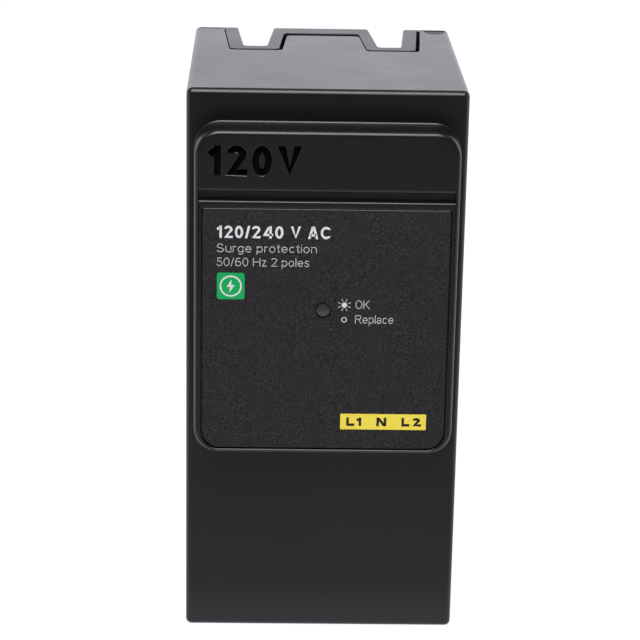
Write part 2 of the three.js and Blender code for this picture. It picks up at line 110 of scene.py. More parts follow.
LAMP_X = (LENS_LOW.x + LENS_HIGH.x) / 2
LAMP_Z = (LENS_LOW.z + LENS_HIGH.z) / 2
LENS_RADIUS = 1.45

SLOT_X = 0.52 * HALF_WIDTH
SLOT_FLOOR = BACK - 17.5
FUNNEL_MOUTH_HALF = 3.55
FUNNEL_FLOOR_HALF = 2.2
FUNNEL_FLOOR = SLOT_FLOOR - 0.5
FUNNEL_CORNER = 0.9
FUNNEL_SHIFT = {-1: -0.12, 1: -0.45}  # each funnel sits a little to the left of its jaw
COLLAR_FRONT = SLOT_FLOOR - 4.5
COLLAR_FRONT_HALF = 5.05
COLLAR_BACK_HALF = 6.55
COLLAR_CORNER = 1.2
COLLAR_BOTTOM = HEIGHT - 25.5
STRIP_FRONT = BACK - 7.4
# how loosely the base's end sits in the housing's notch, on top of the gap all round
BASE_SHIFT = -0.15
COLLAR_SLACK = 0.25
COLLAR_SET_BACK = 0.65
STRIP_SET_BACK = 1.9
POCKET_HALF = 3.6
POCKET_BOTTOM = COLLAR_BOTTOM + 2.5
POCKET_TOP = HEIGHT - 6.2

CHANNEL_BOTTOM = 12
CHANNEL_TOP = 20.5
CHANNEL_FLOOR = BACK - 11
PLATE_FRONT = BACK - 5.1
PIVOT_Y = BACK - 17
PIVOT_Z = COLLAR_BOTTOM - 5.5
EAR_X = SLOT_X + 7.9

SCREW_INSET = WALL + 2.8
SCREWS = {
    "case_screw_lower_left": (SCREW_INSET - HALF_WIDTH, SCREW_INSET),
    "case_screw_lower_right": (HALF_WIDTH - SCREW_INSET, SCREW_INSET),
    "case_screw_upper": (0, HEIGHT - 11),
}


# ---------------------------------------------------------------- outlines
def arc(a, b, radius, start, end, steps):
    """Points on an arc, with its angles in degrees."""
    angles = [math.radians(start + (end - start) * i / steps) for i in range(steps + 1)]
    return [(a + radius * math.cos(t), b + radius * math.sin(t)) for t in angles]


def inset_corners(corners, distance):
    """A counter-clockwise outline of (a, b, radius) corners, with each side moved inwards."""
    moved = []
    for i, (a, b, radius) in enumerate(corners):
        here = Vector((a, b))
        before = (here - Vector(corners[i - 1][:2])).normalized()
        after = (Vector(corners[(i + 1) % len(corners)][:2]) - here).normalized()
        inward = Vector((-before.y, before.x)), Vector((-after.y, after.x))
        share = 1 + inward[0].dot(inward[1])
        corner = here + (inward[0] + inward[1]) * (distance / share)
        turns_left = before.x * after.y - before.y * after.x > 0
        new_radius = radius - distance if turns_left else radius + distance
        moved.append((corner.x, corner.y, max(new_radius, 0) if radius > 0 else 0))
    return moved


def rounded(corners, steps=8):
    """Points of an outline with true arcs at its corners, the same number at every corner."""
    points = []
    for i, (a, b, radius) in enumerate(corners):
        here = Vector((a, b))
        back = (Vector(corners[i - 1][:2]) - here).normalized()
        ahead = (Vector(corners[(i + 1) % len(corners)][:2]) - here).normalized()
        half = math.acos(max(-1, min(1, back.dot(ahead)))) / 2
        if radius < 1e-6:
            points += [(a, b)] * (steps + 1)
            continue
        reach = radius / math.tan(half)
        centre = here + (back + ahead).normalized() * (radius / math.sin(half))
        start = here + back * reach - centre
        turn = math.pi - 2 * half
        if back.x * ahead.y - back.y * ahead.x > 0:
            turn = -turn
        for k in range(steps + 1):
            spoke = start.copy()
            spoke.rotate(Matrix.Rotation(turn * k / steps, 2))
            points.append(tuple(centre + spoke))
    return points


def rectangle(left, right, low, high, radius=0.0, upper_radius=None):
    upper = radius if upper_radius is None else upper_radius
    return [(left, low, radius), (right, low, radius), (right, high, upper), (left, high, upper)]


# ---------------------------------------------------------------- solids
PLANES = {
    "xz": lambda a, b, c: (a, c, b),
    "xy": lambda a, b, c: (a, b, c),
    "yz": lambda a, b, c: (c, a, b),
}


def in_scene(name, data):
    """A new object in the scene."""
    made = bpy.data.objects.new(name, data)
    bpy.context.scene.collection.objects.link(made)
    return made


def new_piece(name, bm):
    """An object in the scene from a finished bmesh."""
    mesh = bpy.data.meshes.new(name)
    bm.to_mesh(mesh)
    bm.free()
    return in_scene(name, mesh)


def solid(name, rings):
    """A closed mesh object from rings of points, still in millimetres."""
    bm = bmesh.new()
    made = [[bm.verts.new(p) for p in ring] for ring in rings]
    count = len(rings[0])
    for lower, upper in zip(made, made[1:]):
        for i in range(count):
            j = (i + 1) % count
            bm.faces.new((lower[i], lower[j], upper[j], upper[i]))
    bm.faces.new(made[0][::-1])
    bm.faces.new(made[-1])
    bmesh.ops.remove_doubles(bm, verts=bm.verts, dist=1e-4)
    bmesh.ops.dissolve_degenerate(bm, edges=bm.edges, dist=1e-4)
    bmesh.ops.recalc_face_normals(bm, faces=bm.faces)
    return new_piece(name, bm)


def slab(name, corners, levels, plane, steps=8):
    """An outline pushed through levels given as (inset, position)."""
    place = PLANES[plane]
    rings = []
    for inset, at in levels:
        outline = rounded(inset_corners(corners, inset), steps)
        rings.append([place(a, b, at) for a, b in outline])
    return solid(name, rings)


def rounded_end(position, radius, outwards, steps=5):
    """Levels that round the edge of a slab's end face at a position. outwards is +1 or -1."""
    quarter = arc(0, 0, 1, 0, 90, steps)
    return [(radius * (1 - c), position - outwards * radius * (1 - s)) for c, s in quarter]


def flared_end(position, radius, outwards, beyond=1.0, steps=3):
    """Levels that round the rim of a hole where its cutter leaves the surface at a position."""
    rim = [(-inset, at) for inset, at in rounded_end(position, radius, outwards, steps)]
    return rim + [(-radius, position + outwards * beyond)]


def box(name, xs, ys, zs):
    return slab(name, rectangle(*xs, *zs), [(0, ys[0]), (0, ys[1])], "xz", 1)


def turned(name, profile, x, z, around=48):
    """A turned piece on an axis along Y, from [radius, y] points, closed on the axis."""
    bm = bmesh.new()
    rows = []
    for radius, y in profile:
        if radius < 1e-6:
            rows.append([bm.verts.new((x, y, z))])
            continue
        angles = [2 * math.pi * i / around for i in range(around)]
        rows.append([bm.verts.new((x + radius * math.cos(t), y, z + radius * math.sin(t))) for t in angles])
    for lower, upper in zip(rows, rows[1:]):
        for i in range(around):
            j = (i + 1) % around
            below = [lower[i % len(lower)], lower[j % len(lower)]]
            above = [upper[j % len(upper)], upper[i % len(upper)]]
            ring = list(dict.fromkeys(below + above))
            if len(ring) > 2:
                bm.faces.new(ring)
    bmesh.ops.recalc_face_normals(bm, faces=bm.faces)
    return new_piece(name, bm)


def baked(piece):
    """Puts the result of a piece's modifiers into its own mesh."""
    bpy.context.view_layer.update()
    done = piece.evaluated_get(bpy.context.evaluated_depsgraph_get())
    mesh = bpy.data.meshes.new_from_object(done)
    piece.modifiers.clear()
    piece.data = mesh
    return piece


def combine(target, tools, operation, overlapping=False):
    """Adds or takes away other solids, one after another.

    overlapping allows tools that cross each other or themselves.
    """
    for tool in tools:
        change = target.modifiers.new("change", "BOOLEAN")
        change.operation = operation
        change.solver = "EXACT"
        change.use_self = overlapping
        change.object = tool
        baked(target)
        if not target.data.polygons:
            raise RuntimeError(f"{operation} with {tool.name} left nothing of {target.name}")
        bpy.data.objects.remove(tool)
    return target


def finish_piece(piece, body, look, replaces=(), smooth_angle=32, weighted=True):
    """Scales a piece to metres, smooths it, and rides it on its body."""
    bm = bmesh.new()
    bm.from_mesh(piece.data)
    bmesh.ops.remove_doubles(bm, verts=bm.verts, dist=2e-4)
    bmesh.ops.dissolve_degenerate(bm, edges=bm.edges, dist=1e-4)
    bm.to_mesh(piece.data)
    bm.free()
    piece.data.transform(Matrix.Scale(MM, 4))
    piece.data.shade_smooth()
    piece.data.set_sharp_from_angle(angle=math.radians(smooth_angle))
    if weighted:
        even = piece.modifiers.new("even_normals", "WEIGHTED_NORMAL")
        even.keep_sharp = True
        even.weight = 80
    piece.data.materials.clear()
    piece.data.materials.append(look)
    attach(piece, body)
    if replaces:
        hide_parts(*replaces)


# ---------------------------------------------------------------- materials
class Nodes:
    """Short ways to wire up the nodes of a material, or of the world."""

    def __init__(self, owner, shader="Principled BSDF", coords="Object"):
        owner.use_nodes = True
        self.tree = owner.node_tree
        self.shader = self.tree.nodes[shader]
        self.coords = self.node("ShaderNodeTexCoord").outputs[coords]

    def node(self, kind, **values):
        made = self.tree.nodes.new(kind)
        for key, value in values.items():
            setattr(made, key, value)
        return made

    def link(self, output, socket):
        self.tree.links.new(output, socket)

    def scaled(self, size_mm, stretch=(1, 1, 1), rotation=(0, 0, 0)):
        scaling = self.node("ShaderNodeMapping")
        scaling.inputs["Rotation"].default_value = rotation
        scaling.inputs["Scale"].default_value = [s / (size_mm * MM) for s in stretch]
        self.link(self.coords, scaling.inputs["Vector"])
        return scaling.outputs["Vector"]

    def noise(self, size_mm, detail=2.0, roughness=0.5, distortion=0.0, stretch=(1, 1, 1)):
        made = self.node("ShaderNodeTexNoise")
        made.inputs["Scale"].default_value = 1.0
        made.inputs["Detail"].default_value = detail
        made.inputs["Roughness"].default_value = roughness
        made.inputs["Distortion"].default_value = distortion
        self.link(self.scaled(size_mm, stretch), made.inputs["Vector"])
        return made.outputs["Fac"]

    def cells(self, size_mm):
        made = self.node("ShaderNodeTexVoronoi")
        made.inputs["Scale"].default_value = 1.0
        self.link(self.scaled(size_mm), made.inputs["Vector"])
        return made.outputs["Distance"]

    def ramp(self, value, stops):
        made = self.node("ShaderNodeValToRGB")
        ramp = made.color_ramp
        while len(ramp.elements) < len(stops):
            ramp.elements.new(0.5)
        for element, (position, level) in zip(ramp.elements, stops):
            element.position = position
            element.color = (*level, 1) if hasattr(level, "__len__") else (level, level, level, 1)
        self.link(value, made.inputs["Fac"])
        return made.outputs["Color"]

    def span(self, value, low, high):
        """Maps 0 to 1 onto low to high."""
        made = self.node("ShaderNodeMapRange")
        made.inputs["To Min"].default_value = low
        made.inputs["To Max"].default_value = high
        self.link(value, made.inputs["Value"])
        return made.outputs["Result"]

    def fade(self, value, start, end, first, last):
        """Goes smoothly from first to last while the value goes from start to end."""
        result = self.span(value, first, last)
        result.node.interpolation_type = "SMOOTHSTEP"
        result.node.inputs["From Min"].default_value = start
        result.node.inputs["From Max"].default_value = end
        return result

    def maths(self, operation, first, second):
        made = self.node("ShaderNodeMath", operation=operation)
        for socket, value in zip(made.inputs, (first, second)):
            self.put(socket, value)
        return made.outputs["Value"]

    def blend(self, factor, first, second):
        """Mixes two colours. The node also has sockets named A and B for numbers and vectors."""
        made = self.node("ShaderNodeMix", data_type="RGBA")
        colour_a, colour_b = [s for s in made.inputs if s.type == "RGBA"]
        self.put(made.inputs["Factor"], factor)
        self.put(colour_a, first)
        self.put(colour_b, second)
        return [s for s in made.outputs if s.type == "RGBA"][0]

    def put(self, socket, value):
        """Links an output to a socket, or sets the socket to a number or a colour."""
        if hasattr(value, "is_output"):
            self.link(value, socket)
        elif socket.type == "RGBA":
            socket.default_value = (*value, 1)
        else:
            socket.default_value = value

    def bump(self, height, depth_mm, below=None):
        made = self.node("ShaderNodeBump")
        made.inputs["Distance"].default_value = depth_mm * MM
        made.inputs["Strength"].default_value = 1.0
        self.link(height, made.inputs["Height"])
        if below is not None:
            self.link(below, made.inputs["Normal"])
        return made.outputs["Normal"]

    def set(self, **values):
        """Puts outputs or plain values into the shader's sockets, with _ for a space in a name."""
        for key, value in values.items():
            self.put(self.shader.inputs[key.replace("_", " ")], value)


def new_look(name):
    material = bpy.data.materials.new(name)
    return material, Nodes(material)


def moulded_plastic(name, colour, roughness, grain_mm=0.16, grain_deep=0.006, dust=0.5, specular=0.5):
    """Matt moulded plastic: spark-eroded grain, faint flow shading, handling sheen and a little dust."""
    material, n = new_look(name)
    flow = n.noise(26, detail=3, distortion=0.6)
    fine = n.noise(grain_mm, detail=3, roughness=0.6)
    wide = n.noise(1.3, detail=2)
    darker = [c * 0.8 for c in colour]
    lighter = [c * 1.25 for c in colour]
    base = n.blend(n.ramp(flow, [(0.35, 0.0), (0.65, 1.0)]), darker, lighter)
    mottled = n.blend(n.ramp(fine, [(0.42, 0.0), (0.6, 0.35)]), base, lighter)
    speck = n.ramp(n.cells(2.6), [(0.0, 1.0), (0.03, 0.0)])
    rare = n.ramp(n.noise(7, detail=1), [(0.52, 0.0), (0.6, dust)])
    dusty = n.maths("MULTIPLY", speck, rare)
    handled = n.span(n.noise(17, detail=4, distortion=1.2), roughness - 0.05, roughness + 0.06)
    n.set(
        Base_Color=n.blend(dusty, mottled, (0.32, 0.32, 0.3)),
        Roughness=n.maths("ADD", handled, n.span(fine, -0.04, 0.04)),
        Normal=n.bump(wide, 0.004, n.bump(fine, grain_deep)),
        Specular_IOR_Level=specular,
    )
    return material


def printed_film(name, colour):
    """Polyester label film: grainy dark print under a satin overlay."""
    material, n = new_look(name)
    grain = n.noise(0.38, detail=2, roughness=0.6)
    patch = n.noise(5.5, detail=3, distortion=0.4)
    dark = [c * 0.3 for c in colour]
    light = [c * 3.0 for c in colour]
    warm = [colour[0] * 1.3, colour[1], colour[2] * 1.1]
    print_grain = n.blend(n.ramp(grain, [(0.44, 0.0), (0.66, 1.0)]), dark, light)
    n.set(
        Base_Color=n.blend(n.ramp(patch, [(0.38, 0.0), (0.64, 0.5)]), print_grain, warm),
        Roughness=n.span(grain, 0.5, 0.66),
        Normal=n.bump(grain, 0.02),
        Specular_IOR_Level=0.34,
    )
    return material


def ink(name, colour, roughness=0.5):
    """Screen-printed ink with a slightly uneven edge and density."""
    material, n = new_look(name)
    density = n.noise(0.22, detail=3)
    thin = [c * 0.82 for c in colour]
    n.set(
        Base_Color=n.blend(n.ramp(density, [(0.35, 0.0), (0.6, 1.0)]), thin, colour),
        Roughness=n.span(density, roughness - 0.06, roughness + 0.08),
        Normal=n.bump(density, 0.004),
        Specular_IOR_Level=0.3 if max(colour) > 0.01 else 0.06,
    )
    return material


def metal(name, colour, roughness, brush_mm=0.08, along=2, tarnish=0.35, tarnish_colour=None):
    """Rolled or drawn metal with a brushed grain, tarnish patches and small dents."""
    material, n = new_look(name)
    stretch = [1, 1, 1]
    stretch[along] = 0.04
    brushed = n.noise(brush_mm, detail=3, stretch=stretch)
    patch = n.noise(3.2, detail=4, distortion=0.8)
    dull = tarnish_colour or [c * 0.55 for c in colour]
    worn = n.blend(n.ramp(patch, [(0.42, 0.0), (0.68, tarnish)]), colour, dull)
    brushed_gloss = n.span(brushed, roughness - 0.06, roughness + 0.1)
    n.set(
        Base_Color=n.blend(n.ramp(brushed, [(0.35, 0.0), (0.7, 0.25)]), worn, [c * 0.7 for c in colour]),
        Roughness=n.maths("ADD", brushed_gloss, n.span(patch, -0.05, 0.12)),
        Normal=n.bump(n.noise(0.9, detail=2), 0.01, n.bump(brushed, 0.003)),
        Metallic=1.0,
    )
    return material


def clear_lens(name):
    """Smoky moulded lens with faint inner streaks."""
    material, n = new_look(name)
    streak = n.noise(0.5, detail=2)
    dark, light = (0.035, 0.035, 0.037), (0.065, 0.065, 0.068)
    n.set(
        Base_Color=n.blend(n.ramp(streak, [(0.3, 0.0), (0.7, 1.0)]), dark, light),
        Roughness=n.span(streak, 0.12, 0.24),
        Normal=n.bump(n.noise(0.8, detail=1), 0.006),
        Transmission_Weight=0.35,
        IOR=1.5,
    )
    return material


def dipped_epoxy(name, colour):
    """Glossy dipped coating with orange peel."""
    material, n = new_look(name)
    peel = n.noise(0.8, detail=2)
    thick = [c * 0.7 for c in colour]
    pooled = n.ramp(n.noise(6, detail=3), [(0.35, 0.0), (0.65, 1.0)])
    gloss = n.span(peel, 0.2, 0.34)
    n.set(Base_Color=n.blend(pooled, thick, colour), Roughness=gloss, Normal=n.bump(peel, 0.03))
    return material


def board_laminate(name):
    """Solder mask over woven glass, with copper areas showing through as lighter rectangles."""
    material, n = new_look(name)
    weave = n.noise(0.4, detail=1, stretch=(1, 1, 0.3))
    pour = n.node("ShaderNodeTexBrick", offset=0.37, squash=0.6, squash_frequency=3)
    for socket, value in (("Scale", 1.0), ("Mortar Size", 0.2), ("Brick Width", 14.0), ("Row Height", 6.5)):
        pour.inputs[socket].default_value = value
    n.link(n.scaled(1, rotation=(math.radians(-90), 0, 0)), pour.inputs["Vector"])
    gaps = pour.outputs["Fac"]
    clouds = n.ramp(n.noise(9, detail=2), [(0.4, 0.0), (0.6, 1.0)])
    mask = n.blend(clouds, (0.012, 0.085, 0.038), (0.016, 0.11, 0.05))
    n.set(
        Base_Color=n.blend(gaps, mask, (0.009, 0.064, 0.029)),
        Roughness=n.span(weave, 0.25, 0.42),
        Normal=n.bump(weave, 0.01, n.bump(gaps, -0.02)),
    )
    return material


def pressed_paper(name):
    """Fibrous insulation sheet."""
    material, n = new_look(name)
    fibre = n.noise(0.5, detail=5, roughness=0.7, distortion=2.0, stretch=(1, 1, 0.25))
    dark, light = (0.42, 0.34, 0.2), (0.68, 0.6, 0.44)
    n.set(
        Base_Color=n.blend(n.ramp(fibre, [(0.35, 0.0), (0.65, 1.0)]), dark, light),
        Roughness=n.span(fibre, 0.7, 0.9),
        Normal=n.bump(fibre, 0.03),
    )
    return material


LOOKS = {
    "housing": moulded_plastic("housing_plastic", (0.0038, 0.0037, 0.0048), 0.33, specular=0.38),
    "base": moulded_plastic("base_plastic", (0.0042, 0.0046, 0.0040), 0.38, grain_mm=0.2, specular=0.32),
    "film": printed_film("label_film", (0.0082, 0.0079, 0.0085)),
    "overlay": moulded_plastic("overlay_edge", (0.012, 0.012, 0.013), 0.3, grain_mm=0.3, dust=0.0),
    # painted shade: a near-black, almost unreflective sheet for the engraved rating's floor, standing in for
    # the shade there
    "shade_sheet": ink("rating_floor_shade", (0.0015, 0.0015, 0.0015), 0.8),
    "white": ink("print_white", (0.68, 0.69, 0.7)),
    "grey": ink("print_grey", (0.47, 0.47, 0.485)),
    "green": ink("print_green", (0.001, 0.36, 0.085)),
    "yellow": ink("print_yellow", (0.87, 0.7, 0.075)),
    "black": ink("print_black", (0.012, 0.011, 0.01)),
    "lens": clear_lens("clear_plastic"),
    "led": moulded_plastic("led_plastic", (0.03, 0.34, 0.11), 0.2, dust=0.0),
    "board": board_laminate("board_laminate"),
    "capacitor": moulded_plastic("capacitor_plastic", (0.55, 0.32, 0.03), 0.32, dust=0.1),
    "rectifier": moulded_plastic("rectifier_epoxy", (0.02, 0.02, 0.021), 0.5, dust=0.1),
    "paper": pressed_paper("barrier_paper"),
    "copper": metal("copper", (0.72, 0.3, 0.17), 0.3, tarnish=0.6, tarnish_colour=(0.22, 0.09, 0.05)),
    "tin": metal("tinned_copper", (0.66, 0.65, 0.6), 0.3, along=2),
    "spring": metal("spring_steel", (0.42, 0.43, 0.45), 0.3, along=1),
    "zinc": metal("zinc_steel", (0.6, 0.61, 0.6), 0.32, brush_mm=0.3, along=1,
                  tarnish_colour=(0.42, 0.42, 0.38)),
    "solder": metal("solder", (0.5, 0.5, 0.5), 0.35, brush_mm=0.4, along=0),
    "varistor": dipped_epoxy("varistor_epoxy", (0.02, 0.09, 0.32)),
    "arm": moulded_plastic("arm_plastic", (0.66, 0.6, 0.46), 0.5, dust=0.05),
    "switch": moulded_plastic("switch_plastic", (0.018, 0.018, 0.019), 0.45, dust=0.1),
    "plunger": moulded_plastic("plunger_plastic", (0.42, 0.035, 0.02), 0.4, dust=0.0),
    "resistor": dipped_epoxy("resistor_lacquer", (0.16, 0.36, 0.46)),
}


# ---------------------------------------------------------------- housing
def collar_half(y, inset):
    slope = (COLLAR_BACK_HALF - COLLAR_FRONT_HALF) / (BACK - COLLAR_FRONT)
    return COLLAR_FRONT_HALF + slope * (y - COLLAR_FRONT) - inset


def collar_edges(side, y, inset):
    """Left and right edge of a collar at a depth. The base sits to the left in the housing's notch."""
    middle, half = side * SLOT_X, collar_half(y, inset)
    if inset == 0:
        return middle - half, middle + half
    return middle - half + BASE_SHIFT, middle + half + BASE_SHIFT - COLLAR_SLACK


def end_corners(inset, back):
    """The part of the end wall that belongs to the base: both collars and the strip between them."""
    of_base = inset > 0
    front = COLLAR_FRONT + inset + (COLLAR_SET_BACK if of_base else 0)
    step = STRIP_FRONT + inset + (STRIP_SET_BACK if of_base else 0)
    corners = []
    for side, inner, outer in ((1, 0, 1), (-1, 1, 0)):
        at_step, at_front, at_back = [collar_edges(side, y, inset) for y in (step, front, back)]
        collar = [
            (at_step[inner], step, COLLAR_CORNER),
            (at_front[inner], front, COLLAR_CORNER),
            (at_front[outer], front, COLLAR_CORNER),
            (at_back[outer], back, 0),
        ]
        corners += collar if side > 0 else collar[::-1]
    return corners


def collar_corners(side, inset):
    front = COLLAR_FRONT + inset + COLLAR_SET_BACK
    front_edges, back_edges = collar_edges(side, front, inset), collar_edges(side, BACK, inset)
    return [
        (front_edges[0], front, COLLAR_CORNER),
        (front_edges[1], front, COLLAR_CORNER),
        (back_edges[1], BACK, 0),
        (back_edges[0], BACK, 0),
    ]


def panel_solid():
    corners = rectangle(-PANEL_HALF, PANEL_HALF, PANEL_BOTTOM, PANEL_TOP, PANEL_CORNER)
    flare = flared_end(SHELL_FRONT + 0.02, PANEL_FILLET, 1, beyond=WALL / 2, steps=4)
    front = rounded_end(PANEL_FRONT, PANEL_EDGE, -1, steps=5)
    return slab("panel", corners, flare[::-1] + front, "xz", 12)


def groove_cutter():
    """The cross groove: a soft upper lip, where the strip rounds over, and a crisp lower lip."""
    face, floor = PANEL_FRONT, PANEL_FRONT + GROOVE_DEEP
    upper_lip, lower_lip, root = 0.85, 0.45, 0.2
    section = [(face - 1, GROOVE_BOTTOM - lower_lip)]
    section += arc(face + lower_lip, GROOVE_BOTTOM - lower_lip, lower_lip, 180, 90, 6)
    section += [(floor, GROOVE_BOTTOM)]
    section += arc(floor - root, GROOVE_TOP - root, root, 0, 90, 3)
    section += arc(face + upper_lip, GROOVE_TOP + upper_lip, upper_lip, 270, 180, 6)
    section += [(face - 1, GROOVE_TOP + upper_lip)]
    ends = PANEL_HALF - 0.8
    return solid("groove", [[(x, y, z) for y, z in section] for x in (-ends, ends)])


def glyph(character, h):
    """Centre lines and advance width of a character in cap heights. h is half the stroke's width."""
    x_height, low = 0.73, -0.24

    def bowl(a, b, across, tall, start=0, end=360):
        turns = arc(0, 0, 1, start, end, max(6, round(abs(end - start) / 15)))
        return [(a + (across - h) * c, b + (tall - h) * s) for c, s in turns]

    stem = [(h, 0), (h, 1)]
    short = [(h, 0), (h, x_height)]
    lines = {
        " ": (0.2, []),
        "/": (0.3, [[(h * 0.6, 0), (0.3 - h * 0.6, 1)]]),
        "0": (0.56, [bowl(0.28, 0.5, 0.28, 0.5)]),
        "1": (0.36, [[(0.36 - h, 0), (0.36 - h, 1)], [(0.04, 0.8 - h), (0.36 - h * 1.5, 0.95 - h)]]),
        "2": (0.56, [bowl(0.28, 0.71, 0.28, 0.29, 170, -38) + [(h * 1.3, h), (0.56, h)]]),
        "4": (0.68, [[(0.52, 0), (0.52, 1)], [(0.43, 0.93), (h * 1.6, 0.29), (0.68, 0.29)]]),
        "5": (0.56, [[(0.5, 1 - h), (0.14, 1 - h), (0.1, 0.52)] + bowl(0.27, 0.33, 0.29, 0.33, 130, -160)]),
        "6": (0.56, [bowl(0.28, 0.31, 0.28, 0.31), bowl(0.3, 0.5, 0.3, 0.5, 50, 188)]),
        "A": (0.68, [[(h, 0), (0.3, 1 - h), (0.38, 1 - h), (0.68 - h, 0)], [(0.16, 0.3), (0.52, 0.3)]]),
        "C": (0.68, [bowl(0.36, 0.5, 0.36, 0.5, 40, 320)]),
        "H": (0.7, [stem, [(0.7 - h, 0), (0.7 - h, 1)], [(h, 0.52), (0.7 - h, 0.52)]]),
        "K": (0.68, [stem, [(0.64, 1), (h, 0.36)], [(0.24, 0.58), (0.67, 0)]]),
        "L": (0.52, [[(h, 1), (h, h), (0.52, h)]]),
        "N": (0.7, [stem, [(0.7 - h, 0), (0.7 - h, 1)], [(h * 1.2, 0.97), (0.7 - h * 1.2, 0.03)]]),
        "O": (0.76, [bowl(0.38, 0.5, 0.38, 0.5)]),
        "R": (0.68, [stem, [(h, 1 - h)] + bowl(0.39, 0.735, 0.27, 0.265, 90, -90) + [(h, 0.47 + h)],
                     [(0.36, 0.5), (0.65, 0)]]),
        "S": (0.64, [bowl(0.32, 0.735, 0.28, 0.265, 15, 245) + bowl(0.32, 0.27, 0.32, 0.27, 65, -168)]),
        "V": (0.68, [[(h, 1), (0.34, h * 1.3), (0.68 - h, 1)]]),
        "a": (0.5, [[(0.47 - h, 0)] + bowl(0.25, 0.5, 0.22, 0.23, 0, 165), bowl(0.22, 0.21, 0.22, 0.21)]),
        "c": (0.5, [bowl(0.26, 0.365, 0.26, 0.365, 42, 318)]),
        "e": (0.53, [[(h * 2, 0.37)] + bowl(0.265, 0.365, 0.265, 0.365, 1, 325)]),
        "g": (0.52, [bowl(0.25, 0.375, 0.25, 0.355),
                     [(0.51 - h, x_height)] + bowl(0.26, 0, 0.25, -low, 0, -155)]),
        "i": (h * 2, [short, [(h, 0.88), (h, 1)]]),
        "l": (h * 2, [stem]),
        "n": (0.5, [short, bowl(0.25, 0.46, 0.25, 0.27, 180, 0) + [(0.5 - h, 0)]]),
        "o": (0.53, [bowl(0.265, 0.365, 0.265, 0.365)]),
        "p": (0.53, [[(h, low), (h, x_height)], bowl(0.27, 0.365, 0.26, 0.365)]),
        "r": (0.3, [short, bowl(0.29, 0.42, 0.29, 0.31, 170, 88)]),
        "s": (0.47, [bowl(0.235, 0.54, 0.205, 0.19, 15, 240) + bowl(0.235, 0.195, 0.235, 0.195, 60, -165)]),
        "t": (0.27, [[(0.13, 0.94), (0.13, 0.14), (0.17, h), (0.27, h)],
                     [(0, x_height - h), (0.27, x_height - h)]]),
        "u": (0.5, [[(h, x_height)] + bowl(0.25, 0.27, 0.25, 0.27, 180, 360) + [(0.5 - h, x_height)],
                    [(0.5 - h, 0), (0.5 - h, 0.3)]]),
        "z": (0.46, [[(0.01, x_height - h), (0.42 - h, x_height - h), (0.04 + h, h), (0.46, h)]]),
    }
    return lines[character]


def swept(bm, path, profile):
    """Adds a closed (offset, y) profile swept along a path in the X-Z plane.

    Corners are mitred, and the ends of steep strokes are cut level.
    """
    loop = (Vector(path[0]) - Vector(path[-1])).length < 1e-5
    sharpest_mitre, steep = 0.55, 0.75
    points = [Vector(p) for p in (path[:-1] if loop else path)]
    rows = []
    for i, here in enumerate(points):
        before = (here - points[i - 1]).normalized() if loop or i > 0 else None
        ahead = points[(i + 1) % len(points)]
        after = (ahead - here).normalized() if loop or i + 1 < len(points) else None
        before = before or after
        after = after or before
        first, second = Vector((-before.y, before.x)), Vector((-after.y, after.x))
        mitre = (first + second) / max(1 + first.dot(second), sharpest_mitre)
        at_end = not loop and i in (0, len(points) - 1)
        if at_end and abs(before.y) > steep:
            mitre = Vector((-1 / before.y, 0))
        rows.append([bm.verts.new((here.x + mitre.x * a, y, here.y + mitre.y * a)) for a, y in profile])
    pairs = list(zip(rows, rows[1:])) + ([(rows[-1], rows[0])] if loop else [])
    for one, other in pairs:
        for i in range(len(profile)):
            j = (i + 1) % len(profile)
            bm.faces.new((one[i], one[j], other[j], other[i]))
    if not loop:
        bm.faces.new(rows[0][::-1])
        bm.faces.new(rows[-1])


def lettering(words, left, right, foot, cap, weight, profile_of, spacing=0.11):
    """One mesh for each stroke of the words, which fill left to right along a base line."""
    half = weight / 2
    pen = 0
    strokes = []
    for character in words:
        advance, lines = glyph(character, half)
        strokes += [[(pen + a, b) for a, b in line] for line in lines]
        pen += advance + spacing
    stretch = (right - left) / (pen - spacing)
    made = []
    for stroke in strokes:
        bm = bmesh.new()
        path = [(left + a * stretch, foot + b * cap) for a, b in stroke]
        swept(bm, path, profile_of(half * cap))
        bmesh.ops.recalc_face_normals(bm, faces=bm.faces)
        made.append(new_piece("stroke", bm))
    return made


def merged(name, pieces):
    """Puts several closed shells in one mesh."""
    bm = bmesh.new()
    for piece in pieces:
        bm.from_mesh(piece.data)
        bpy.data.objects.remove(piece)
    return new_piece(name, bm)


def rating(profile_of):
    """The strokes of the rating, for its engraving and for the sheet of painted shade in its floor."""
    ends = RATING_LEFT, RATING_RIGHT
    return lettering(RATING_WORDS, *ends, RATING_FOOT, RATING_CAP, RATING_WEIGHT, profile_of)


def engraved(half):
    """Section of an engraving stroke: straight walls with a softened rim."""
    face, floor = PANEL_FRONT, PANEL_FRONT + RATING_DEEP
    rim = [(half + 0.12, face - 1), (half + 0.12, face), (half + 0.03, face + 0.06), (half, face + 0.15)]
    side = rim + [(half, floor)]
    return side + [(-a, y) for a, y in reversed(side)]


